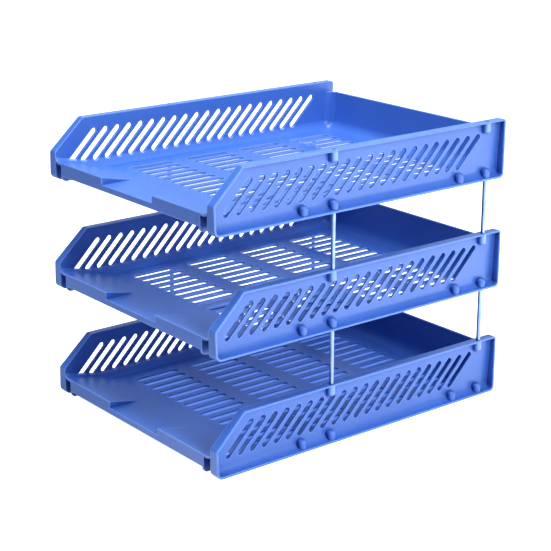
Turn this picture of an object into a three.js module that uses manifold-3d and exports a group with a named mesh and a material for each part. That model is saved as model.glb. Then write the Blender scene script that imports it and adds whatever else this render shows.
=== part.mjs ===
// Stacking letter tray: open-fronted moulded trays, one above another, held apart by steel rods.
// Millimetres. +Z is up, +X is to the right and +Y to the back. The origin is on the surface that
// the lowest tray stands on, in the middle of its width and depth.
import * as THREE from "three";
import { mergeVertices } from "three/addons/utils/BufferGeometryUtils.js";
import Module from "manifold-3d";

const wasm = await Module();
wasm.setup();

// The stack
const TRAY_NAMES = ["bottom_tray", "middle_tray", "top_tray"];
const ROD_LEVELS = ["lower_rod", "upper_rod"];
const TRAY_PITCH = 106.7;

// One tray
const DEPTH = 336;
const HEIGHT = 55;
const SHEET = 2;
const PANEL_INNER = 119.5;
const PANEL_OUTER = PANEL_INNER + SHEET;
const FRONT = -DEPTH / 2;
const BACK = DEPTH / 2;
const BACK_LEAN = 2.8;
const HIDDEN_OVERLAP = 0.4;
const PAST_SURFACE = 0.5;
const PAST_FRONT = 5;

// Rim of a side wall
const RIM_OUTER = 127.5;
const RIM_FLARE = 2.5;
const RIM_THICKNESS = 2;
const KNUCKLE_HEIGHT = 26;
const SLOPE_RUN = 31;
const COVE_RADIUS = 6;
const COVE_STEPS = 3;
const COVE_ROOT = 1;

// Floor, ramp and front lip
const FLOOR_TOP = 5.5;
const FLOOR_SHEET = 2.3;
const FLOOR_RADIUS = 10;
const BACK_WALL_TOP = 44.5;
const BACK_WALL_BOTTOM = 1;
const RAMP_RUN = 57;
const RAMP_RISE = 12.5;
const RAMP_RADIUS = 6;
const RAMP_ANGLE = Math.atan(RAMP_RISE / RAMP_RUN);
const LIP_HALF_WIDTH = 109.6;
const LIP_BOTTOM = 5.7;
const RIB_BOTTOM = 0.8;
const RIB_RADIUS = 4;
const NOTCH_HALF_WIDTH = 39.7;
const NOTCH_SHELF = 11.3;

// Slots
const SLOT_END_STEPS = 3;
const SIDE_SLOTS = 21;
const SIDE_SLOT_PITCH = 13.17;
const SIDE_SLOT_FIRST = 29.8;
const SIDE_SLOT_HEIGHT = 28.4;
const SIDE_SLOT_WIDTH = 5.2;
const SIDE_SLOT_LENGTH = 35.8 + SIDE_SLOT_WIDTH;
const FLOOR_SLOT_COLUMNS = 15;
const FLOOR_SLOT_SPACING = 13.65;
const FLOOR_SLOT_STARTS = [66, 130.6, 195.4, 260];
const FLOOR_SLOT_LENGTH = 48.5;
const FLOOR_SLOT_WIDTH = 8.3;

// Rods and the sockets that hold them
const ROD_RADIUS = 2;
const ROD_X = 124.2;
const ROD_PLACES = { front: 130, rear: 314.5 };
const ROD_CLEARANCE = 0.3;
const SOCKET_RADIUS = ROD_RADIUS + ROD_CLEARANCE;
const RIM_SOCKET_DEPTH = 9.7;
const FOOT_SOCKET_DEPTH = 8.8;
const FOOT_SOCKETS = [96.5, 130, 280.5, 314.5];
const BOSS_RADIUS = 4.2;
const BOSS_ROUNDNESS = 0.98;
const RIM_BOSS_HEIGHT = 11.7;
const RIM_BOSS_BEVEL = 1.5;
const RIM_BOSS_INSET = 0.3;
const FOOT_BOSS_HEIGHT = 10.4;
const FOOT_BOSS_BEVEL = 2;

// A three.js geometry as a solid.
function solid(geometry) {
  geometry.deleteAttribute("normal");
  geometry.deleteAttribute("uv");
  const merged = mergeVertices(geometry);
  return new wasm.Manifold(
    new wasm.Mesh({
      numProp: 3,
      vertProperties: merged.attributes.position.array,
      triVerts: new Uint32Array(merged.index.array),
    }),
  );
}

function joined(solids) {
  return solids.reduce((whole, piece) => whole.add(piece));
}

// Outline corners are [x, y, radius], anticlockwise.
function unitTo(from, to) {
  return new THREE.Vector2(to[0] - from[0], to[1] - from[1]).normalize();
}

// The point at the same distance inside both edges that meet in a corner.
function insideCorner(corners, index, distance) {
  const corner = corners[index];
  const before = unitTo(corner, corners.at(index - 1));
  const after = unitTo(corner, corners[(index + 1) % corners.length]);
  const along = distance / Math.abs(before.cross(after));
  return before.add(after).multiplyScalar(along).add(new THREE.Vector2(corner[0], corner[1]));
}

function insetCorners(corners, distance) {
  return corners.map(([, , radius], index) => {
    const point = insideCorner(corners, index, distance);
    return [point.x, point.y, Math.max(radius - distance, 0)];
  });
}

function roundedShape(corners, steps = 3) {
  const points = corners.flatMap((corner, index) => {
    const radius = corner[2];
    const centre = insideCorner(corners, index, radius);
    if (radius === 0) return [centre];
    const start = unitTo(corners.at(index - 1), corner).angle() - Math.PI / 2;
    const turn = unitTo(corner, corners[(index + 1) % corners.length]).angle() - Math.PI / 2 - start;
    const sweep = (turn + 2 * Math.PI) % (2 * Math.PI);
    return Array.from({ length: steps + 1 }, (_, step) => {
      const angle = start + (sweep * step) / steps;
      return new THREE.Vector2(Math.cos(angle), Math.sin(angle)).multiplyScalar(radius).add(centre);
    });
  });
  return new THREE.Shape(points);
}

// A slot with round ends, along the shape's own x axis.
function slotShape(length, width) {
  const radius = width / 2;
  const straight = length / 2 - radius;
  const points = [1, -1].flatMap((end) =>
    Array.from({ length: SLOT_END_STEPS + 1 }, (_, step) => {
      const angle = (Math.PI * step) / SLOT_END_STEPS - Math.PI / 2;
      return new THREE.Vector2(end * (straight + radius * Math.cos(angle)), end * radius * Math.sin(angle));
    }),
  );
  return new THREE.Shape(points);
}

function extrusion(shape, depth, bevel = 0, bevelSegments = 1) {
  return new THREE.ExtrudeGeometry(shape, {
    depth,
    bevelEnabled: bevel > 0,
    bevelSize: bevel,
    bevelThickness: bevel,
    bevelSegments,
  });
}

// The shape's x and y become the tray's y and z, between two places across the width.
function acrossWidth(shape, left, right) {
  const yz = new THREE.Matrix4().makeBasis(
    new THREE.Vector3(0, 1, 0),
    new THREE.Vector3(0, 0, 1),
    new THREE.Vector3(1, 0, 0),
  );
  return extrusion(shape, right - left).applyMatrix4(yz).translate(left, 0, 0);
}

// The shape's x and y become the tray's x and z, between two places along the depth.
function alongDepth(shape, front, back) {
  return extrusion(shape, back - front).rotateX(Math.PI / 2).translate(0, back, 0);
}

// The shape lies in plan, between two heights, and may have bevelled ends.
function upright(shape, bottom, top, bevel = 0) {
  return extrusion(shape, top - bottom - 2 * bevel, bevel).translate(0, 0, bottom + bevel);
}

function rectangle(x0, y0, x1, y1) {
  return roundedShape([
    [x0, y0, 0],
    [x1, y0, 0],
    [x1, y1, 0],
    [x0, y1, 0],
  ]);
}

// Side wall: its outline seen from the side.
const WALL_CORNERS = [
  [FRONT, 0, 6],
  [BACK - BACK_LEAN, 0, 5],
  [BACK, HEIGHT, 3],
  [FRONT + SLOPE_RUN, HEIGHT, 3],
  [FRONT, KNUCKLE_HEIGHT, 3],
];

// The rim's outer face leans out towards the foot.
function flared(geometry) {
  const position = geometry.attributes.position;
  for (let i = 0; i < position.count; i++) {
    const drop = 1 - position.getZ(i) / HEIGHT;
    if (position.getX(i) > PANEL_OUTER) position.setX(i, position.getX(i) + RIM_FLARE * drop);
  }
  return geometry;
}

// Concave strip between the panel and the rim's foot.
function cove() {
  const points = [new THREE.Vector2(PANEL_OUTER - COVE_ROOT, RIM_THICKNESS - COVE_ROOT)];
  points.push(new THREE.Vector2(PANEL_OUTER + COVE_RADIUS, RIM_THICKNESS - COVE_ROOT));
  for (let step = 0; step <= COVE_STEPS; step++) {
    const angle = (Math.PI / 2) * (step / COVE_STEPS);
    points.push(
      new THREE.Vector2(
        PANEL_OUTER + COVE_RADIUS * (1 - Math.sin(angle)),
        RIM_THICKNESS + COVE_RADIUS * (1 - Math.cos(angle)),
      ),
    );
  }
  points.push(new THREE.Vector2(PANEL_OUTER - COVE_ROOT, RIM_THICKNESS + COVE_RADIUS));
  return solid(alongDepth(new THREE.Shape(points), FRONT + COVE_ROOT, BACK - BACK_LEAN - COVE_ROOT));
}

// Half-round boss on the outside of the panel, round a socket.
function boss(place, outer, bottom, top, bevel) {
  const y = FRONT + place;
  const radius = BOSS_RADIUS - bevel;
  const rounding = radius * BOSS_ROUNDNESS;
  const plan = roundedShape(
    [
      [PANEL_INNER + bevel, y - radius, 0],
      [outer - bevel, y - radius, rounding],
      [outer - bevel, y + radius, rounding],
      [PANEL_INNER + bevel, y + radius, 0],
    ],
    2,
  );
  return solid(upright(plan, bottom, top, bevel));
}

function rimBosses() {
  const outer = RIM_OUTER - RIM_BOSS_INSET;
  return Object.values(ROD_PLACES).map((place) =>
    boss(place, outer, HEIGHT - RIM_BOSS_HEIGHT, HEIGHT - RIM_BOSS_INSET, RIM_BOSS_BEVEL),
  );
}

function footBosses() {
  const outer = ROD_X + BOSS_RADIUS;
  return FOOT_SOCKETS.map((place) =>
    boss(place, outer, -FOOT_BOSS_BEVEL, FOOT_BOSS_HEIGHT, FOOT_BOSS_BEVEL),
  );
}

function sideWall() {
  const outline = roundedShape(WALL_CORNERS);
  const block = solid(flared(acrossWidth(outline, PANEL_INNER - HIDDEN_OVERLAP, RIM_OUTER)));
  const inner = roundedShape(insetCorners(WALL_CORNERS, RIM_THICKNESS));
  const pan = solid(acrossWidth(inner, PANEL_OUTER, RIM_OUTER + 2 * RIM_FLARE));
  const kept = joined([cove(), ...rimBosses(), ...footBosses()]);
  return block.subtract(pan.subtract(kept));
}

function sideSlots() {
  const shape = slotShape(SIDE_SLOT_LENGTH, SIDE_SLOT_WIDTH);
  return Array.from({ length: SIDE_SLOTS }, (_, index) => {
    const sheet = acrossWidth(shape, PANEL_INNER - 2 * PAST_SURFACE, PANEL_OUTER + PAST_SURFACE / 2);
    const slot = sheet.rotateX(Math.PI / 4);
    const place = FRONT + SIDE_SLOT_FIRST + index * SIDE_SLOT_PITCH;
    return solid(slot.translate(0, place, SIDE_SLOT_HEIGHT));
  });
}

function socket(place, bottom, top) {
  const hole = new THREE.CylinderGeometry(SOCKET_RADIUS, SOCKET_RADIUS, top - bottom, 10);
  return solid(hole.rotateX(Math.PI / 2).translate(ROD_X, FRONT + place, (top + bottom) / 2));
}

function sockets() {
  const rim = Object.values(ROD_PLACES).map((place) =>
    socket(place, HEIGHT - RIM_SOCKET_DEPTH, HEIGHT + PAST_SURFACE),
  );
  const foot = FOOT_SOCKETS.map((place) => socket(place, -PAST_SURFACE, FOOT_SOCKET_DEPTH));
  return [...rim, ...foot];
}

// A long block with round lower edges, open-ended past the front: the space inside the tray, or,
// one sheet larger, its outside.
function roundBlock(halfWidth, back, radius) {
  const corner = 0.5;
  const bevel = radius - corner;
  const side = halfWidth - bevel;
  const front = FRONT - HEIGHT - FLOOR_RADIUS;
  const plan = roundedShape([
    [-side, front, corner],
    [side, front, corner],
    [side, back - bevel, corner],
    [-side, back - bevel, corner],
  ]);
  return extrusion(plan, 3 * HEIGHT, bevel, 3).translate(0, 0, bevel);
}

// Height of the floor's upper face, or of its lower face for the grown outside.
function floorHeight(grow) {
  return grow > 0 ? FLOOR_TOP - FLOOR_SHEET : FLOOR_TOP;
}

// The floor and walls lean with the back rim.
function tub(grow) {
  const slant = BACK_LEAN / HEIGHT;
  const lean = new THREE.Matrix4().set(1, 0, 0, 0, 0, 1, slant, -BACK_LEAN, 0, 0, 1, 0, 0, 0, 0, 1);
  const halfWidth = PANEL_INNER + grow - (grow > 0 ? HIDDEN_OVERLAP / 4 : 0);
  const block = roundBlock(halfWidth, BACK - HIDDEN_OVERLAP - SHEET + grow, FLOOR_RADIUS + grow);
  return solid(block.translate(0, 0, floorHeight(grow)).applyMatrix4(lean));
}

function rampSide(grow) {
  const block = roundBlock(PANEL_INNER + HIDDEN_OVERLAP + grow, 3 * BACK, RAMP_RADIUS + grow);
  block.translate(0, -FRONT, 0).rotateX(-RAMP_ANGLE);
  return solid(block.translate(0, FRONT + RAMP_RUN, floorHeight(grow)));
}

function lip() {
  const front = rectangle(FRONT - PAST_FRONT, LIP_BOTTOM, FRONT + SHEET, HEIGHT / 2);
  return solid(acrossWidth(front, -LIP_HALF_WIDTH, LIP_HALF_WIDTH));
}

// Rib under the floor's edge, from the lip to the back.
function rib() {
  const side = roundedShape([
    [FRONT, RIB_BOTTOM, RIB_RADIUS],
    [BACK - 3 * SHEET, RIB_BOTTOM, 0],
    [BACK - 3 * SHEET, FLOOR_TOP - 1, 0],
    [FRONT + RAMP_RUN, FLOOR_TOP - 1, 0],
    [FRONT, FLOOR_TOP + RAMP_RISE - 1, 0],
  ]);
  return solid(acrossWidth(side, LIP_HALF_WIDTH - SHEET, LIP_HALF_WIDTH));
}

function backFoot() {
  const lean = (BACK_LEAN * (HEIGHT - 2 * FLOOR_RADIUS)) / HEIGHT;
  const outer = BACK - 2 * HIDDEN_OVERLAP;
  const side = roundedShape([
    [outer - BACK_LEAN - SHEET, BACK_WALL_BOTTOM, 0],
    [outer - BACK_LEAN, BACK_WALL_BOTTOM, 0],
    [outer - lean, 2 * FLOOR_RADIUS, 0],
    [outer - lean - SHEET, 2 * FLOOR_RADIUS, 0],
  ]);
  const halfWidth = PANEL_INNER - HIDDEN_OVERLAP / 2;
  return solid(acrossWidth(side, -halfWidth, halfWidth));
}

// The block that the finger notch is cut from, under the ramp.
function notchBed() {
  const bottom = NOTCH_SHELF - SHEET;
  const run = RAMP_RUN - (bottom - FLOOR_TOP) / Math.tan(RAMP_ANGLE);
  const side = roundedShape([
    [FRONT - 1, bottom, 0],
    [FRONT + run, bottom, 0],
    [FRONT - 1, FLOOR_TOP + RAMP_RISE, 0],
  ]);
  return solid(acrossWidth(side, -NOTCH_HALF_WIDTH - SHEET, NOTCH_HALF_WIDTH + SHEET));
}

function notch() {
  const side = rectangle(FRONT - PAST_FRONT, NOTCH_SHELF, FRONT + RAMP_RUN, HEIGHT);
  return solid(acrossWidth(side, -NOTCH_HALF_WIDTH, NOTCH_HALF_WIDTH));
}

// Everything between the side walls stays inside this side view.
function betweenWalls() {
  const side = roundedShape([
    [FRONT, 0, 0],
    [BACK, 0, 0],
    [BACK, BACK_WALL_TOP, 0],
    [FRONT + SLOPE_RUN, BACK_WALL_TOP, 0],
    [FRONT + RAMP_RUN / 4, KNUCKLE_HEIGHT, 0],
    [FRONT, FLOOR_TOP + RAMP_RISE + 1, 0],
  ]);
  return solid(acrossWidth(side, -RIM_OUTER, RIM_OUTER));
}

function floorSlots() {
  const shape = slotShape(FLOOR_SLOT_LENGTH, FLOOR_SLOT_WIDTH);
  const middle = (FLOOR_SLOT_COLUMNS - 1) / 2;
  return FLOOR_SLOT_STARTS.flatMap((start) =>
    Array.from({ length: FLOOR_SLOT_COLUMNS }, (_, column) => {
      const slot = upright(shape, FLOOR_TOP - FLOOR_SHEET - PAST_SURFACE, FLOOR_TOP + PAST_SURFACE);
      slot.rotateZ(Math.PI / 2);
      const x = (column - middle) * FLOOR_SLOT_SPACING;
      return solid(slot.translate(x, FRONT + start + FLOOR_SLOT_LENGTH / 2, 0));
    }),
  );
}

function mirrored(piece) {
  return piece.mirror([1, 0, 0]);
}

function tray() {
  const shell = tub(SHEET).intersect(rampSide(SHEET));
  const ribs = [rib(), mirrored(rib())];
  const middle = joined([shell, lip(), notchBed(), backFoot(), ...ribs]).intersect(betweenWalls());
  const wall = sideWall();
  const space = tub(0).intersect(rampSide(0));
  const body = joined([middle, wall, mirrored(wall)]).subtract(space);
  const sideCuts = joined([...sideSlots(), ...sockets()]);
  const cuts = joined([notch(), sideCuts, mirrored(sideCuts), ...floorSlots()]);
  return body.subtract(cuts);
}

function meshOf(piece, name, material) {
  const { vertProperties, triVerts } = piece.getMesh();
  const geometry = new THREE.BufferGeometry();
  geometry.setAttribute("position", new THREE.BufferAttribute(vertProperties, 3));
  geometry.setIndex(new THREE.BufferAttribute(triVerts, 1));
  geometry.computeVertexNormals();
  const mesh = new THREE.Mesh(geometry, material);
  mesh.name = name;
  return mesh;
}

function rod(name) {
  const length = TRAY_PITCH - HEIGHT + RIM_SOCKET_DEPTH + FOOT_SOCKET_DEPTH - 2 * ROD_CLEARANCE;
  const geometry = new THREE.CylinderGeometry(ROD_RADIUS, ROD_RADIUS, length, 12).rotateX(Math.PI / 2);
  const steel = new THREE.MeshStandardMaterial({ color: 0xd9dde2, roughness: 0.22, metalness: 1 });
  const mesh = new THREE.Mesh(geometry.translate(0, 0, length / 2), steel);
  mesh.name = name;
  return mesh;
}

const stack = new THREE.Group();
stack.name = "letter_tray";

const trayShape = tray();
TRAY_NAMES.forEach((name, level) => {
  const plastic = new THREE.MeshStandardMaterial({ color: 0x2f63d6, roughness: 0.38, metalness: 0 });
  const mesh = meshOf(trayShape, name, plastic);
  mesh.position.z = level * TRAY_PITCH;
  stack.add(mesh);
});

const ROD_SIDES = { left: -1, right: 1 };
ROD_LEVELS.forEach((levelName, level) => {
  for (const [row, place] of Object.entries(ROD_PLACES)) {
    for (const [side, sign] of Object.entries(ROD_SIDES)) {
      const mesh = rod(`${levelName}_${row}_${side}`);
      const bottom = level * TRAY_PITCH + HEIGHT - RIM_SOCKET_DEPTH + ROD_CLEARANCE;
      mesh.position.set(sign * ROD_X, FRONT + place, bottom);
      stack.add(mesh);
    }
  }
});

export default stack;
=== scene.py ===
"""Looks of the stacking letter tray: moulded blue trays on plated steel rods.

Shapes are worked out in millimetres, measured from the front of the rim (depth), from the
middle (across) and from each tray's foot (height), and become metres when a mesh is made.
"""
import math

import bmesh
import bpy
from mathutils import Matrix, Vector


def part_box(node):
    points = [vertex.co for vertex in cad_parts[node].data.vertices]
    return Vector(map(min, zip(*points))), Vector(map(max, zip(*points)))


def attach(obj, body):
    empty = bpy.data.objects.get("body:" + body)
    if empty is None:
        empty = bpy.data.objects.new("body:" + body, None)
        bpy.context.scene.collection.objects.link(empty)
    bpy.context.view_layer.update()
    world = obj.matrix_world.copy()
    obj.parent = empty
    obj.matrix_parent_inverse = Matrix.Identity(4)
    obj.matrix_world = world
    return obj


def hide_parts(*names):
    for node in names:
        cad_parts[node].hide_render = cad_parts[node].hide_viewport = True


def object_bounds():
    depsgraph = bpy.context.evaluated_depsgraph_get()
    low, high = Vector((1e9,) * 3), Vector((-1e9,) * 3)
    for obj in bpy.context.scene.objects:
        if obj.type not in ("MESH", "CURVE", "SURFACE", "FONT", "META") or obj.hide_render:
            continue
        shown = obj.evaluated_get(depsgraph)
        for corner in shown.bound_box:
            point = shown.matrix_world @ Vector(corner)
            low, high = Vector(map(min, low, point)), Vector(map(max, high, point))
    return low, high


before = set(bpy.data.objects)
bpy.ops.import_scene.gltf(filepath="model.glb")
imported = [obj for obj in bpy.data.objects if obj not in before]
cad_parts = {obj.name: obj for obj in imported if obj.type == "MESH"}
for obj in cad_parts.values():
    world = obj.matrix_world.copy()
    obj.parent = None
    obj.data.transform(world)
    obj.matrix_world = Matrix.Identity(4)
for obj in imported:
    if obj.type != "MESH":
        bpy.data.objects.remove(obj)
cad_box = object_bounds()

MM = 0.001
TRAYS = ["bottom_tray", "middle_tray", "top_tray"]
RODS = [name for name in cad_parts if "_rod_" in name]

# Sizes of one tray, from the frame
tray_low, tray_high = (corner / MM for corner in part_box(TRAYS[0]))
PITCH = (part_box(TRAYS[1])[0].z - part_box(TRAYS[0])[0].z) / MM
FRONT = tray_low.y
DEPTH = -2 * FRONT
HEIGHT = tray_high.z - tray_low.z
RIM_FOOT_OUTER = tray_high.x

# Sheet and rim
SHEET = 2.0
PANEL_INNER = 119.5
PANEL_OUTER = PANEL_INNER + SHEET
RIM_OUTER = 127.5
RIM_FLARE = RIM_FOOT_OUTER - RIM_OUTER
RIM_THICKNESS = 2.0
RIM_FILLET = 0.7
EDGE = 0.5
BACK_LEAN = 2.8
HIDDEN_OVERLAP = 0.4
SLOPE_RUN = 31.0
KNUCKLE_HEIGHT = 26.0
COVE_RADIUS = 6.0
COVE_ROOT = 1.0
COVE_START = 1.2
COVE_TRIM_SIDES = (100, 140)

# Floor, ramp and front lip
FLOOR_TOP = 5.5
FLOOR_SHEET = 2.3
FLOOR_RADIUS = 10.0
BACK_WALL_TOP = 44.5
BACK_WALL_BOTTOM = 1.0
RAMP_RUN = 57.0
RAMP_RISE = 12.5
RAMP_RADIUS = 6.0
RAMP_ANGLE = math.atan(RAMP_RISE / RAMP_RUN)
LIP_HALF_WIDTH = 109.6
LIP_BOTTOM = 5.7
PAST_FRONT = 80.0
PAST_FACE = 5.0
OUTSIDE_GAP = 0.1
RIB_BOTTOM = 0.8
RIB_RADIUS = 4.0
RIB_ROOT = 1.0
NOTCH_HALF_WIDTH = 39.7
NOTCH_SHELF = 11.3

# Slots
SIDE_SLOTS = 21
SIDE_SLOT_PITCH = 13.17
SIDE_SLOT_FIRST = 29.8
SIDE_SLOT_HEIGHT = 28.4
SIDE_SLOT_WIDTH = 5.2
SIDE_SLOT_LENGTH = 35.8 + SIDE_SLOT_WIDTH
FLOOR_SLOT_COLUMNS = 15
FLOOR_SLOT_SPACING = 13.65
FLOOR_SLOT_STARTS = [66, 130.6, 195.4, 260]
FLOOR_SLOT_LENGTH = 48.5
FLOOR_SLOT_WIDTH = 8.3
SIDE_SLOT_EDGE = 0.45
FLOOR_SLOT_EDGE = 0.2
FLARE_ANGLE = math.radians(75)
FLARE_STEPS = 3
FLARE_PAST = 0.2

# Rods and their sockets
ROD_X = 124.2
ROD_PLACES = [130.0, 314.5]
FOOT_SOCKETS = [96.5, 130.0, 280.5, 314.5]
SOCKET_RADIUS = 2.3
RIM_SOCKET_DEPTH = 9.7
FOOT_SOCKET_DEPTH = 8.8
SOCKET_CHAMFER = 0.4
SOCKET_STEPS = 32
BOSS_RADIUS = 4.2
BOSS_ROOT = 0.3
BOSS_ROUNDNESS = 0.98
RIM_BOSS_HEIGHT = 11.7
RIM_BOSS_INSET = 0.35
RIM_BOSS_TOP = 0.6
RIM_BOSS_DOME = 2.0
RIM_BOSS_TAPER = 2.2
FOOT_BOSS_HEIGHT = 10.4
FOOT_BOSS_BOTTOM = 0.4
FOOT_BOSS_DOME = 3.2
FOOT_BOSS_TAPER = 2.8
DOME_STEPS = 7
ROD_CHAMFER = 0.5
ROD_STEPS = 40

ARC_STEPS = 8
LEAST_RADIUS = 0.05
SMOOTH_ANGLE = math.radians(35)


def mesh_object(name, verts, faces):
    """A closed mesh in millimetres, with its faces turned outwards."""
    mesh = bpy.data.meshes.new(name)
    mesh.from_pydata([tuple(v) for v in verts], [], faces)
    work = bmesh.new()
    work.from_mesh(mesh)
    bmesh.ops.recalc_face_normals(work, faces=work.faces)
    work.to_mesh(mesh)
    work.free()
    piece = bpy.data.objects.new(name, mesh)
    bpy.context.scene.collection.objects.link(piece)
    return piece


def add_loft(verts, faces, rings):
    """Adds a solid through rings of equally many points, capped at both ends, to a mesh."""
    base = len(verts)
    count = len(rings[0])
    for ring in rings:
        verts.extend(ring)
    faces.append(tuple(base + i for i in range(count)))
    faces.append(tuple(base + (len(rings) - 1) * count + i for i in range(count)))
    for ring in range(len(rings) - 1):
        start = base + ring * count
        for i in range(count):
            j = (i + 1) % count
            faces.append((start + i, start + j, start + count + j, start + count + i))


def loft(name, rings):
    """A solid through rings of points, as an object of its own."""
    verts, faces = [], []
    add_loft(verts, faces, rings)
    return mesh_object(name, verts, faces)


def inside_corner(corners, index, distance):
    """The point at the same distance inside both edges that meet in a corner."""
    corner = Vector(corners[index][:2])
    before = (Vector(corners[index - 1][:2]) - corner).normalized()
    after = (Vector(corners[(index + 1) % len(corners)][:2]) - corner).normalized()
    return corner + (before + after) * (distance / abs(before.cross(after)))


def outline(corners, inset=0.0, steps=ARC_STEPS):
    """Points of a convex outline, anticlockwise, from (x, y, radius) corners; radius 0 is sharp."""
    points = []
    inner = [(*inside_corner(corners, i, inset), c[2]) for i, c in enumerate(corners)]
    for i, (x, y, radius) in enumerate(inner):
        if radius == 0:
            points.append((x, y))
            continue
        rest = max(radius - inset, LEAST_RADIUS)
        centre = inside_corner(inner, i, rest)
        start = math.atan2(y - inner[i - 1][1], x - inner[i - 1][0]) - math.pi / 2
        following = inner[(i + 1) % len(inner)]
        turn = math.atan2(following[1] - y, following[0] - x) - math.pi / 2 - start
        turn %= 2 * math.pi
        for step in range(steps + 1):
            angle = start + turn * step / steps
            points.append((centre[0] + rest * math.cos(angle), centre[1] + rest * math.sin(angle)))
    return points


def quarter(steps=5):
    """Sine and cosine of each step of a quarter turn."""
    angles = [math.pi / 2 * step / steps for step in range(steps + 1)]
    return [(math.sin(a), math.cos(a)) for a in angles]


def boolean(piece, other, operation):
    """Joins or cuts piece with other, which is used up."""
    modifier = piece.modifiers.new("join", "BOOLEAN")
    modifier.operation = operation
    modifier.solver = "MANIFOLD"
    modifier.object = other
    graph = bpy.context.evaluated_depsgraph_get()
    made = bpy.data.meshes.new_from_object(piece.evaluated_get(graph))
    piece.modifiers.clear()
    piece.data = made
    bpy.data.objects.remove(other)
    return piece


def join_all(pieces):
    whole = pieces[0]
    for piece in pieces[1:]:
        boolean(whole, piece, "UNION")
    return whole


def mirrored(piece):
    """A mirror image on the other side of the middle."""
    verts = [(-v.co.x, v.co.y, v.co.z) for v in piece.data.vertices]
    faces = [tuple(reversed(f.vertices)) for f in piece.data.polygons]
    return mesh_object(piece.name + "_mirrored", verts, faces)


def across(points, x):
    """Points of a side view (depth, height) placed at x across the tray."""
    return [(x, FRONT + depth, height) for depth, height in points]


def prism_across(name, corners, left, right):
    points = outline(corners)
    return loft(name, [across(points, left), across(points, right)])


# ---- side walls -------------------------------------------------------------------------------

# Side view of a wall: depth, height and radius of each corner
WALL = [
    (0, 0, 6),
    (DEPTH - BACK_LEAN, 0, 5),
    (DEPTH, HEIGHT, 3),
    (SLOPE_RUN, HEIGHT, 3),
    (0, KNUCKLE_HEIGHT, 3),
]


def rim_face(points, inward):
    """Points on the rim's outer face, which leans out towards the foot."""
    return [
        (RIM_OUTER + RIM_FLARE * (1 - height / HEIGHT) - inward, FRONT + depth, height)
        for depth, height in points
    ]


def wall_body():
    """Panel with its rim all round, from the inner face to the recessed outer face."""
    inner = PANEL_INNER - HIDDEN_OVERLAP
    rings = []
    for s, c in quarter():
        rings.append(across(outline(WALL, EDGE * (1 - s)), inner + EDGE * (1 - c)))
    for s, c in quarter():
        rings.append(rim_face(outline(WALL, EDGE * (1 - c)), EDGE * (1 - s)))
    for s, c in quarter():
        rings.append(rim_face(outline(WALL, RIM_THICKNESS - EDGE * (1 - s)), EDGE * (1 - c)))
    for s, c in quarter():
        inset = RIM_THICKNESS + RIM_FILLET * (1 - c)
        rings.append(across(outline(WALL, inset), PANEL_OUTER + RIM_FILLET * (1 - s)))
    return loft("wall", rings)


def cove():
    """Concave strip between the panel and the rim's foot."""
    root = PANEL_OUTER - COVE_ROOT
    low = RIM_THICKNESS - COVE_ROOT
    section = [(root, low), (PANEL_OUTER + COVE_RADIUS, low)]
    for s, c in quarter(ARC_STEPS):
        section.append((PANEL_OUTER + COVE_RADIUS * (1 - s), RIM_THICKNESS + COVE_RADIUS * (1 - c)))
    section.append((root, RIM_THICKNESS + COVE_RADIUS))
    ends = (FRONT + COVE_START, FRONT + DEPTH - BACK_LEAN - COVE_ROOT)
    strip = loft("cove", [[(x, y, z) for x, z in section] for y in ends])
    inner_wall = [
        (*inside_corner(WALL, i, COVE_ROOT), radius - COVE_ROOT)
        for i, (_, _, radius) in enumerate(WALL)
    ]
    trim = prism_across("cove_trim", inner_wall, *COVE_TRIM_SIDES)
    return boolean(strip, trim, "INTERSECT")


def boss_plan(place, outer, inset):
    """Half-round plan of a boss, from inside the panel out to its outer edge."""
    middle = FRONT + place
    root = PANEL_INNER + BOSS_ROOT
    rounding = BOSS_RADIUS * BOSS_ROUNDNESS
    corners = [
        (root, middle - BOSS_RADIUS, 0),
        (outer, middle - BOSS_RADIUS, rounding),
        (outer, middle + BOSS_RADIUS, rounding),
        (root, middle + BOSS_RADIUS, 0),
    ]
    centre = outer - BOSS_RADIUS
    shrink = 1 - inset / BOSS_RADIUS
    return [
        (centre + (x - centre) * shrink if x > centre else x, middle + (y - middle) * shrink)
        for x, y in outline(corners)
    ]


def rim_boss(place):
    """Half-round boss under the rim, with a round lower end."""
    outer = RIM_OUTER - RIM_BOSS_INSET
    bottom = HEIGHT - RIM_BOSS_HEIGHT
    rings = []
    for s, c in quarter():
        plan = boss_plan(place, outer, RIM_BOSS_TAPER * (1 - s))
        rings.append([(x, y, bottom + RIM_BOSS_DOME * (1 - c)) for x, y in plan])
    rings.append([(x, y, HEIGHT - RIM_BOSS_TOP) for x, y in boss_plan(place, outer, 0)])
    return loft("rim_boss", rings)


def foot_boss(place):
    """Half-round boss on the rim's foot, with a domed top."""
    outer = ROD_X + BOSS_RADIUS
    rings = [[(x, y, FOOT_BOSS_BOTTOM) for x, y in boss_plan(place, outer, 0)]]
    for s, c in quarter(DOME_STEPS):
        height = FOOT_BOSS_HEIGHT - FOOT_BOSS_DOME + FOOT_BOSS_DOME * s
        plan = boss_plan(place, outer, FOOT_BOSS_TAPER * (1 - c))
        rings.append([(x, y, height) for x, y in plan])
    return loft("foot_boss", rings)


def ring_points(x, y, radius, height, steps):
    """Points of a level circle round (x, y)."""
    angles = [math.tau * step / steps for step in range(steps)]
    return [(x + radius * math.cos(a), y + radius * math.sin(a), height) for a in angles]


def socket(place, mouth, end):
    """Cutter for a round blind socket, from its chamfered mouth in a face to its end."""
    inward = math.copysign(1, end - mouth)
    levels = [
        (mouth - inward, SOCKET_RADIUS + SOCKET_CHAMFER),
        (mouth, SOCKET_RADIUS + SOCKET_CHAMFER),
        (mouth + inward * SOCKET_CHAMFER, SOCKET_RADIUS),
        (end, SOCKET_RADIUS),
    ]
    levels.sort()
    rings = [ring_points(ROD_X, FRONT + place, radius, z, SOCKET_STEPS) for z, radius in levels]
    return loft("socket", rings)


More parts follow.
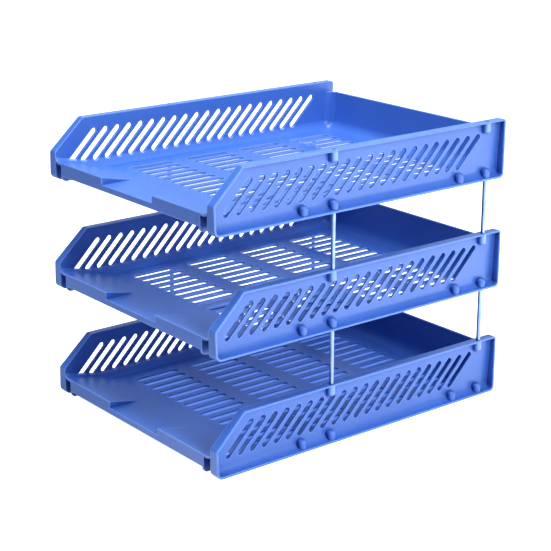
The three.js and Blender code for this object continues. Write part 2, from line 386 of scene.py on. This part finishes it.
def side_wall():
    bosses = [rim_boss(place) for place in ROD_PLACES]
    bosses += [foot_boss(place) for place in FOOT_SOCKETS]
    return join_all([wall_body(), cove(), *bosses])


def slot_points(length, width, grow):
    """A slot with round ends along x, grown by some margin."""
    straight = (length - width) / 2
    reach = width / 2 + grow
    points = []
    for end in (1, -1):
        for step in range(ARC_STEPS + 1):
            angle = math.pi * step / ARC_STEPS - math.pi / 2
            along = straight + reach * math.cos(angle)
            points.append((end * along, end * reach * math.sin(angle)))
    return points


def slot_levels(low, high, edge):
    """(grow, level) through a sheet, flaring at both faces so that the slot's edges are round."""
    flare = []
    for step in range(FLARE_STEPS + 1):
        angle = FLARE_ANGLE * step / FLARE_STEPS
        flare.append((edge * (1 - math.cos(angle)), edge * (1 - math.sin(angle))))
    last_grow, last_drop = flare[-1]
    flare.append((last_grow + (last_drop + FLARE_PAST) * math.tan(FLARE_ANGLE), -FLARE_PAST))
    lower = [(grow, low + drop) for grow, drop in reversed(flare)]
    upper = [(grow, high - drop) for grow, drop in flare]
    return lower + upper


def side_slots():
    """Cutters for the slanting slots of one wall, as one mesh."""
    verts, faces = [], []
    diagonal = math.sqrt(0.5)
    levels = slot_levels(PANEL_INNER, PANEL_OUTER, SIDE_SLOT_EDGE)
    for index in range(SIDE_SLOTS):
        place = SIDE_SLOT_FIRST + index * SIDE_SLOT_PITCH
        rings = []
        for grow, x in levels:
            flat = slot_points(SIDE_SLOT_LENGTH, SIDE_SLOT_WIDTH, grow)
            turned = [
                (place + diagonal * (a - b), SIDE_SLOT_HEIGHT + diagonal * (a + b)) for a, b in flat
            ]
            rings.append(across(turned, x))
        add_loft(verts, faces, rings)
    return mesh_object("side_slots", verts, faces)


def floor_slots():
    """Cutters for all slots of the floor, as one mesh."""
    verts, faces = [], []
    levels = slot_levels(FLOOR_TOP - FLOOR_SHEET, FLOOR_TOP, FLOOR_SLOT_EDGE)
    for start in FLOOR_SLOT_STARTS:
        for column in range(FLOOR_SLOT_COLUMNS):
            x = (column - (FLOOR_SLOT_COLUMNS - 1) / 2) * FLOOR_SLOT_SPACING
            y = FRONT + start + FLOOR_SLOT_LENGTH / 2
            rings = []
            for grow, z in levels:
                flat = slot_points(FLOOR_SLOT_LENGTH, FLOOR_SLOT_WIDTH, grow)
                rings.append([(x - b, y + a, z) for a, b in flat])
            add_loft(verts, faces, rings)
    return mesh_object("floor_slots", verts, faces)


# ---- between the walls ------------------------------------------------------------------------


def round_block(half_width, back, radius):
    """Rings of a long block with round lower edges, running out past the front and the top."""
    corners = [
        (-half_width, FRONT - PAST_FRONT, 0),
        (half_width, FRONT - PAST_FRONT, 0),
        (half_width, back, radius),
        (-half_width, back, radius),
    ]
    rings = []
    for s, c in quarter(ARC_STEPS):
        rings.append([(x, y, radius * (1 - c)) for x, y in outline(corners, radius * (1 - s))])
    rings.append([(x, y, 3 * HEIGHT) for x, y, _ in rings[-1]])
    return rings


def floor_height(grow):
    """Height of the floor's upper face, or of its lower face for the grown outside."""
    return FLOOR_TOP - FLOOR_SHEET if grow else FLOOR_TOP


def tub(grow):
    """The space inside the tray, or its outside when grown by one sheet."""
    half_width = PANEL_INNER + grow - (OUTSIDE_GAP if grow else 0)
    back = FRONT + DEPTH - HIDDEN_OVERLAP - SHEET + grow
    rings = round_block(half_width, back, FLOOR_RADIUS + grow)
    lift = floor_height(grow)
    leaned = [
        [(x, y - BACK_LEAN * (1 - (z + lift) / HEIGHT), z + lift) for x, y, z in ring]
        for ring in rings
    ]
    return loft("tub", leaned)


def above_ramp(grow):
    """The space over the ramp and behind it, or its outside when grown by one sheet."""
    half_width = PANEL_INNER + HIDDEN_OVERLAP + grow
    rings = round_block(half_width, 3 * DEPTH, RAMP_RADIUS + grow)
    sine, cosine = math.sin(-RAMP_ANGLE), math.cos(RAMP_ANGLE)
    turned = [
        [
            (
                x,
                FRONT + RAMP_RUN + (y - FRONT) * cosine - z * sine,
                floor_height(grow) + (y - FRONT) * sine + z * cosine,
            )
            for x, y, z in ring
        ]
        for ring in rings
    ]
    return loft("above_ramp", turned)


def lip():
    """Upright front edge of the ramp."""
    middle = HEIGHT / 2
    corners = [
        (-PAST_FACE, LIP_BOTTOM, 0),
        (SHEET, LIP_BOTTOM, 0),
        (SHEET, middle, 0),
        (-PAST_FACE, middle, 0),
    ]
    return prism_across("lip", corners, -LIP_HALF_WIDTH, LIP_HALF_WIDTH)


def rib():
    """Rib under the floor's edge, from the lip to the back."""
    end = DEPTH - 3 * SHEET
    corners = [
        (0, RIB_BOTTOM, RIB_RADIUS),
        (end, RIB_BOTTOM, 0),
        (end, FLOOR_TOP - RIB_ROOT, 0),
        (RAMP_RUN, FLOOR_TOP - RIB_ROOT, 0),
        (0, FLOOR_TOP + RAMP_RISE - RIB_ROOT, 0),
    ]
    return prism_across("rib", corners, LIP_HALF_WIDTH - SHEET, LIP_HALF_WIDTH)


def back_foot():
    """The back wall's straight lower part."""
    low, high = BACK_WALL_BOTTOM, 2 * FLOOR_RADIUS
    outer = DEPTH - 2 * HIDDEN_OVERLAP
    low_lean = BACK_LEAN * (1 - low / HEIGHT)
    high_lean = BACK_LEAN * (1 - high / HEIGHT)
    corners = [
        (outer - low_lean - SHEET, low, 0),
        (outer - low_lean, low, 0),
        (outer - high_lean, high, 0),
        (outer - high_lean - SHEET, high, 0),
    ]
    half_width = PANEL_INNER - HIDDEN_OVERLAP / 2
    return prism_across("back_foot", corners, -half_width, half_width)


def notch_bed():
    """Solid plastic round the finger notch, under the ramp."""
    bottom = NOTCH_SHELF - SHEET
    run = RAMP_RUN - (bottom - FLOOR_TOP) / math.tan(RAMP_ANGLE)
    corners = [(-1, bottom, 0), (run, bottom, 0), (-1, FLOOR_TOP + RAMP_RISE, 0)]
    half_width = NOTCH_HALF_WIDTH + SHEET
    return prism_across("notch_bed", corners, -half_width, half_width)


def notch():
    """Cutter for the finger notch."""
    corners = [
        (-PAST_FACE, NOTCH_SHELF, 0),
        (RAMP_RUN, NOTCH_SHELF, 0),
        (RAMP_RUN, HEIGHT, 0),
        (-PAST_FACE, HEIGHT, 0),
    ]
    return prism_across("notch", corners, -NOTCH_HALF_WIDTH, NOTCH_HALF_WIDTH)


def between_walls():
    """Everything between the side walls stays inside this side view."""
    corners = [
        (0, -1, 0),
        (DEPTH + PAST_FACE, -1, 0),
        (DEPTH + PAST_FACE, BACK_WALL_TOP, 0),
        (SLOPE_RUN, BACK_WALL_TOP, 0),
        (RAMP_RUN / 4, KNUCKLE_HEIGHT, 0),
        (0, FLOOR_TOP + RAMP_RISE + 1, 0),
    ]
    return prism_across("between_walls", corners, -RIM_OUTER, RIM_OUTER)


def tray():
    """One whole tray in millimetres, standing on its own foot."""
    shell = boolean(tub(SHEET), above_ramp(SHEET), "INTERSECT")
    first_rib = rib()
    shell = join_all([shell, lip(), notch_bed(), back_foot(), mirrored(first_rib), first_rib])
    shell = boolean(shell, between_walls(), "INTERSECT")
    wall = side_wall()
    body = join_all([shell, mirrored(wall), wall])
    body = boolean(body, boolean(tub(0), above_ramp(0), "INTERSECT"), "DIFFERENCE")
    body = boolean(body, notch(), "DIFFERENCE")
    body = boolean(body, floor_slots(), "DIFFERENCE")
    cutters = [side_slots()]
    cutters += [socket(place, HEIGHT, HEIGHT - RIM_SOCKET_DEPTH) for place in ROD_PLACES]
    cutters += [socket(place, 0, FOOT_SOCKET_DEPTH) for place in FOOT_SOCKETS]
    for cutter in cutters:
        body = boolean(body, mirrored(cutter), "DIFFERENCE")
        body = boolean(body, cutter, "DIFFERENCE")
    return body


def finish_mesh(piece, height):
    """Moves a mesh up by height, turns it into metres and shades its curves smooth."""
    for vertex in piece.data.vertices:
        vertex.co = (vertex.co + Vector((0, 0, height))) * MM
    for face in piece.data.polygons:
        face.use_smooth = True
    piece.data.set_sharp_from_angle(angle=SMOOTH_ANGLE)
    weighted = piece.modifiers.new("weighted_normals", "WEIGHTED_NORMAL")
    weighted.keep_sharp = True


# ---- rods -------------------------------------------------------------------------------------


def rod(node):
    """Plated steel rod with chamfered ends, in the place of its node."""
    low, high = (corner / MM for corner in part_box(node))
    middle = (low + high) / 2
    radius = (high.x - low.x) / 2
    levels = [
        (low.z, radius - ROD_CHAMFER),
        (low.z + ROD_CHAMFER, radius),
        (high.z - ROD_CHAMFER, radius),
        (high.z, radius - ROD_CHAMFER),
    ]
    rings = [ring_points(middle.x, middle.y, reach, z, ROD_STEPS) for z, reach in levels]
    return loft("visual_" + node, rings)


# ---- materials --------------------------------------------------------------------------------

PLASTIC_BLUES = [(0.050, 0.142, 0.48, 1), (0.062, 0.162, 0.54, 1)]
PLASTIC_IOR = 1.49
FLOW_SCALE = 9
FLOW_DETAIL = 3
FINE_DETAIL = 2
GRAIN_SCALE = 900
GRAIN_SPREAD = (0.25, 0.75)
GRAIN_STRENGTH = 0.10
GRAIN_HEIGHT = 0.2 * MM
SOFT_EDGE = 0.6 * MM
# Painted highlight along the edges: the base colour is made lighter near convex edges, where light
# would brighten them
EDGE_HIGHLIGHT_WIDTH = 1.4 * MM
EDGE_HIGHLIGHT_SPREAD = (0.45, 0.9)
EDGE_PAINTED_HIGHLIGHT = (0.15, 0.22, 0.38, 1)
# Painted shade: the base colour is darkened in crevices, under the rim and beside the bosses, where
# shade falls
PAINTED_SHADE_REACH = 12 * MM
PAINTED_SHADE_SPREAD = (0.25, 0.72)
PAINTED_SHADE_COLOUR = (0.08, 0.18, 0.40, 1)
SHADER_SAMPLES = 6
STEEL_TINTS = [(0.11, 0.17, 0.36, 1), (0.17, 0.24, 0.44, 1)]
NOISE_SPREAD = (0.3, 0.7)
WHOLE_SPREAD = (0.0, 1.0)
BLOTCH_SCALE = 60
DRAWN_LINES_SCALE = 2500
DRAWN_LINES_STRETCH = (1, 1, 0.02)


def grey(value):
    return (value, value, value, 1)


SATIN = [grey(0.30), grey(0.44)]


def node_material(name):
    material = bpy.data.materials.new(name)
    material.use_nodes = True
    nodes = material.node_tree.nodes
    return material, nodes, material.node_tree.links, nodes["Principled BSDF"]


def noise(nodes, links, coordinates, scale, detail):
    texture = nodes.new("ShaderNodeTexNoise")
    texture.inputs["Scale"].default_value = scale
    texture.inputs["Detail"].default_value = detail
    links.new(coordinates, texture.inputs["Vector"])
    return texture.outputs["Fac"]


def ramp(nodes, links, source, spread, colours):
    """Goes from the first colour to the second while source goes through spread."""
    made = nodes.new("ShaderNodeValToRGB")
    for stop, place, colour in zip(made.color_ramp.elements, spread, colours):
        stop.position = place
        stop.color = colour
    links.new(source, made.inputs["Fac"])
    return made.outputs["Color"]


def mixed(nodes, links, first, second, operation):
    """Two colours joined channel by channel."""
    joined = nodes.new("ShaderNodeVectorMath")
    joined.operation = operation
    links.new(first, joined.inputs[0])
    links.new(second, joined.inputs[1])
    return joined.outputs["Vector"]


def add(nodes, links, first, second, operation="ADD"):
    """Two numbers joined by a maths node; either may be a socket or a plain number."""
    joined = nodes.new("ShaderNodeMath")
    joined.operation = operation
    for number_input, value in zip(joined.inputs, (first, second)):
        if isinstance(value, (int, float)):
            number_input.default_value = value
        else:
            links.new(value, number_input)
    return joined.outputs["Value"]


def occlusion(nodes, reach):
    """A node for how open the piece's own surroundings are, within reach."""
    made = nodes.new("ShaderNodeAmbientOcclusion")
    made.samples = SHADER_SAMPLES
    made.only_local = True
    made.inputs["Distance"].default_value = reach
    return made


def plastic():
    """Moulded blue plastic: faint flow marks, a fine satin grain, a painted highlight along the
    edges and painted shade in the crevices.
    """
    material, nodes, links, shader = node_material("moulded_blue_plastic")
    place = nodes.new("ShaderNodeTexCoord").outputs["Object"]
    flow = noise(nodes, links, place, FLOW_SCALE, FLOW_DETAIL)
    colour = ramp(nodes, links, flow, NOISE_SPREAD, PLASTIC_BLUES)
    # Painted highlight: convex edges get a lighter base colour, standing in for the bright lines
    # light draws along rounded edges
    highlight_edge = occlusion(nodes, EDGE_HIGHLIGHT_WIDTH)
    highlight_edge.inside = True
    pale = ramp(nodes, links, highlight_edge.outputs["AO"], EDGE_HIGHLIGHT_SPREAD, [EDGE_PAINTED_HIGHLIGHT, grey(0)])
    colour = mixed(nodes, links, colour, pale, "ADD")
    # Painted shade: the base colour is darkened where the piece's own parts close round a point
    crevice = occlusion(nodes, PAINTED_SHADE_REACH).outputs["AO"]
    shade = ramp(nodes, links, crevice, PAINTED_SHADE_SPREAD, [PAINTED_SHADE_COLOUR, grey(1)])
    links.new(mixed(nodes, links, colour, shade, "MULTIPLY"), shader.inputs["Base Color"])

    grain = noise(nodes, links, place, GRAIN_SCALE, FINE_DETAIL)
    satin = ramp(nodes, links, grain, GRAIN_SPREAD, SATIN)
    links.new(satin, shader.inputs["Roughness"])
    soft_edge = nodes.new("ShaderNodeBevel")
    soft_edge.samples = SHADER_SAMPLES
    soft_edge.inputs["Radius"].default_value = SOFT_EDGE
    bump = nodes.new("ShaderNodeBump")
    bump.inputs["Strength"].default_value = GRAIN_STRENGTH
    bump.inputs["Distance"].default_value = GRAIN_HEIGHT
    links.new(grain, bump.inputs["Height"])
    links.new(soft_edge.outputs["Normal"], bump.inputs["Normal"])
    links.new(bump.outputs["Normal"], shader.inputs["Normal"])
    shader.inputs["IOR"].default_value = PLASTIC_IOR
    return material


def plated_steel():
    """Bright plated steel with faint drawn lines along the rod."""
    material, nodes, links, shader = node_material("plated_steel")
    place = nodes.new("ShaderNodeTexCoord").outputs["Object"]
    stretch = nodes.new("ShaderNodeMapping")
    stretch.inputs["Scale"].default_value = DRAWN_LINES_STRETCH
    links.new(place, stretch.inputs["Vector"])
    lines = noise(nodes, links, stretch.outputs["Vector"], DRAWN_LINES_SCALE, FINE_DETAIL)
    satin = ramp(nodes, links, lines, NOISE_SPREAD, SATIN)
    links.new(satin, shader.inputs["Roughness"])
    blotch = noise(nodes, links, place, BLOTCH_SCALE, FINE_DETAIL)
    tint = ramp(nodes, links, blotch, NOISE_SPREAD, STEEL_TINTS)
    links.new(tint, shader.inputs["Base Color"])
    shader.inputs["Metallic"].default_value = 1.0
    return material


# ---- stage, in metres -------------------------------------------------------------------------

CAMERA_PLACE = (1.0798, -0.8549, 0.5551)
CAMERA_TILT = 72.37
CAMERA_TURN = 51.74
CAMERA_LENS = 99.16
CAMERA_SENSOR = 36
CAMERA_NEAR = 0.05
CAMERA_FAR = 30
LAMP_TARGET = (0, 0, 0.12)
LAMPS = {  # place, width and watts
    "key": ((1.75, 0.1, 1.15), 0.9, 24),
    "side": ((1.9, 0.6, 0.7), 0.9, 8),
    "top": ((0.2, -0.2, 2.2), 0.8, 38),
    "front": ((-0.1, -1.3, 1.7), 0.8, 17),
}
FILL_STRENGTH = 0.02
BRIGHT_WALL = (-0.2, 0.97, 0.1)
WALL_SHINE_FROM = -0.3
WALL_SHINE_TO = 0.7
WALL_SHINE_DARK = 0.05
WALL_SHINE_BRIGHT = 1.15
WALL_SHINE_COLOUR = (0.75, 0.88, 1.0, 1)
FLOOR_HALF = 6.0
FLOOR_DROP = 0.0005
FLOOR_GREY = 0.68
FLOOR_GLOW = 0.9
BRIGHT_FLOOR = (0.8, 0.6, 0)
FLOOR_SHINE_FROM = -0.2
FLOOR_SHINE_TO = 0.5
FLOOR_SHINE_DARK = 0.08
FLOOR_SHINE_BRIGHT = 3.9
# Painted shadow on the floor under the lowest tray: a blue-grey colour and a dim blue glow in a
# soft-edged rectangle, standing in for the tray's shadow and the blue light bounced off it
PAINTED_SHADOW_COLOUR = (0.18, 0.28, 0.55, 1)
PAINTED_SHADOW_GLOW = (0.11, 0.21, 0.60, 1)
PAINTED_SHADOW_REACH = {"X": 0.117, "Y": 0.142}
PAINTED_SHADOW_MIDDLE = {"X": 0.0, "Y": 0.018}
PAINTED_SHADOW_FADE = 0.006


def camera():
    data = bpy.data.cameras.new("camera")
    data.sensor_width = CAMERA_SENSOR
    data.lens = CAMERA_LENS
    data.clip_start = CAMERA_NEAR
    data.clip_end = CAMERA_FAR
    made = bpy.data.objects.new("camera", data)
    made.location = CAMERA_PLACE
    made.rotation_euler = (math.radians(CAMERA_TILT), 0, math.radians(CAMERA_TURN))
    bpy.context.scene.collection.objects.link(made)
    bpy.context.scene.camera = made


def lamp(name, place, width, power):
    """Square lamp, facing the trays."""
    data = bpy.data.lights.new(name, "AREA")
    data.size = width
    data.energy = power
    made = bpy.data.objects.new(name, data)
    made.location = place
    facing = Vector(LAMP_TARGET) - Vector(place)
    made.rotation_euler = facing.to_track_quat("-Z", "Y").to_euler()
    bpy.context.scene.collection.objects.link(made)


def studio_glow(nodes, links, seen, mirrored_light):
    """Brightness of a studio surface: as seen, and as it shows in shiny surfaces."""
    rays = nodes.new("ShaderNodeLightPath").outputs
    shown = add(nodes, links, rays["Is Camera Ray"], seen, "MULTIPLY")
    gloss = add(nodes, links, rays["Is Glossy Ray"], mirrored_light, "MULTIPLY")
    return add(nodes, links, shown, gloss)


def shine_towards(nodes, links, coordinates, direction, low, high):
    """Brightness that grows along a direction; low and high are (place, brightness)."""
    along = nodes.new("ShaderNodeVectorMath")
    along.operation = "DOT_PRODUCT"
    along.inputs[1].default_value = direction
    links.new(coordinates, along.inputs[0])
    shine = nodes.new("ShaderNodeMapRange")
    shine.inputs["From Min"].default_value, shine.inputs["To Min"].default_value = low
    shine.inputs["From Max"].default_value, shine.inputs["To Max"].default_value = high
    links.new(along.outputs["Value"], shine.inputs["Value"])
    return shine.outputs["Result"]


def studio():
    """White studio: its walls look white, but most of the light comes from a few large lamps."""
    world = bpy.data.worlds.new("studio")
    world.use_nodes = True
    nodes, links = world.node_tree.nodes, world.node_tree.links
    background = nodes["Background"]
    shine = shine_towards(
        nodes,
        links,
        nodes.new("ShaderNodeTexCoord").outputs["Generated"],
        BRIGHT_WALL,
        (WALL_SHINE_FROM, WALL_SHINE_DARK),
        (WALL_SHINE_TO, WALL_SHINE_BRIGHT),
    )
    glow = studio_glow(nodes, links, 1.0, shine)
    links.new(add(nodes, links, glow, FILL_STRENGTH), background.inputs["Strength"])
    mirrored_ray = nodes.new("ShaderNodeLightPath").outputs["Is Glossy Ray"]
    tint = ramp(nodes, links, mirrored_ray, WHOLE_SPREAD, [grey(1), WALL_SHINE_COLOUR])
    links.new(tint, background.inputs["Color"])
    bpy.context.scene.world = world
    for name, (place, width, power) in LAMPS.items():
        lamp(name, place, width, power)


def outside_painted_shadow(nodes, links, place):
    """Mask of the painted shadow: 0 on the floor under the tray, 1 around it."""
    apart = nodes.new("ShaderNodeSeparateXYZ")
    links.new(place, apart.inputs["Vector"])
    past = []
    for axis, reach in PAINTED_SHADOW_REACH.items():
        offset = add(nodes, links, apart.outputs[axis], PAINTED_SHADOW_MIDDLE[axis], "SUBTRACT")
        distance = add(nodes, links, offset, 0.0, "ABSOLUTE")
        past.append(add(nodes, links, distance, reach, "SUBTRACT"))
    soft = nodes.new("ShaderNodeMapRange")
    soft.inputs["From Min"].default_value = -PAINTED_SHADOW_FADE
    soft.inputs["From Max"].default_value = 0.0
    links.new(add(nodes, links, past[0], past[1], "MAXIMUM"), soft.inputs["Value"])
    return soft.outputs["Result"]


def floor_material():
    """Pale floor with a painted blue shadow under the lowest tray, see-through from below."""
    material, nodes, links, shader = node_material("pale_floor")
    shader.inputs["Specular IOR Level"].default_value = 0.0
    place = nodes.new("ShaderNodeTexCoord").outputs["Object"]
    outside_shadow = outside_painted_shadow(nodes, links, place)
    # Painted shadow: under the tray the floor's colour and glow turn a dim blue
    colours = [PAINTED_SHADOW_COLOUR, grey(FLOOR_GREY)]
    links.new(ramp(nodes, links, outside_shadow, WHOLE_SPREAD, colours), shader.inputs["Base Color"])
    glow_colour = ramp(nodes, links, outside_shadow, WHOLE_SPREAD, [PAINTED_SHADOW_GLOW, grey(1)])
    links.new(glow_colour, shader.inputs["Emission Color"])
    shine = shine_towards(
        nodes,
        links,
        place,
        BRIGHT_FLOOR,
        (FLOOR_SHINE_FROM, FLOOR_SHINE_DARK),
        (FLOOR_SHINE_TO, FLOOR_SHINE_BRIGHT),
    )
    links.new(studio_glow(nodes, links, FLOOR_GLOW, shine), shader.inputs["Emission Strength"])
    sides = nodes.new("ShaderNodeMixShader")
    links.new(nodes.new("ShaderNodeNewGeometry").outputs["Backfacing"], sides.inputs["Fac"])
    links.new(shader.outputs["BSDF"], sides.inputs[1])
    links.new(nodes.new("ShaderNodeBsdfTransparent").outputs["BSDF"], sides.inputs[2])
    links.new(sides.outputs["Shader"], nodes["Material Output"].inputs["Surface"])
    return material


def floor():
    mesh = bpy.data.meshes.new("studio_floor")
    corners = [(-1, -1), (1, -1), (1, 1), (-1, 1)]
    height = cad_box[0].z - FLOOR_DROP
    verts = [(x * FLOOR_HALF, y * FLOOR_HALF, height) for x, y in corners]
    mesh.from_pydata(verts, [], [(0, 1, 2, 3)])
    mesh.materials.append(floor_material())
    made = bpy.data.objects.new("studio_floor", mesh)
    bpy.context.scene.collection.objects.link(made)


# ---- the whole scene --------------------------------------------------------------------------


def main():
    blue = plastic()
    steel = plated_steel()
    moulding = tray()
    shape = moulding.data
    bpy.data.objects.remove(moulding)
    for level, node in enumerate(TRAYS):
        piece = bpy.data.objects.new("visual_" + node, shape.copy())
        bpy.context.scene.collection.objects.link(piece)
        finish_mesh(piece, level * PITCH)
        piece.data.materials.clear()
        piece.data.materials.append(blue)
        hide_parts(node)
        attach(piece, node)
    for node in RODS:
        piece = rod(node)
        finish_mesh(piece, 0)
        piece.data.materials.append(steel)
        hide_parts(node)
        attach(piece, node)


camera()
main()
studio()
floor()
bpy.context.scene.view_settings.view_transform = "Standard"
bpy.context.scene.view_settings.look = "Medium High Contrast"
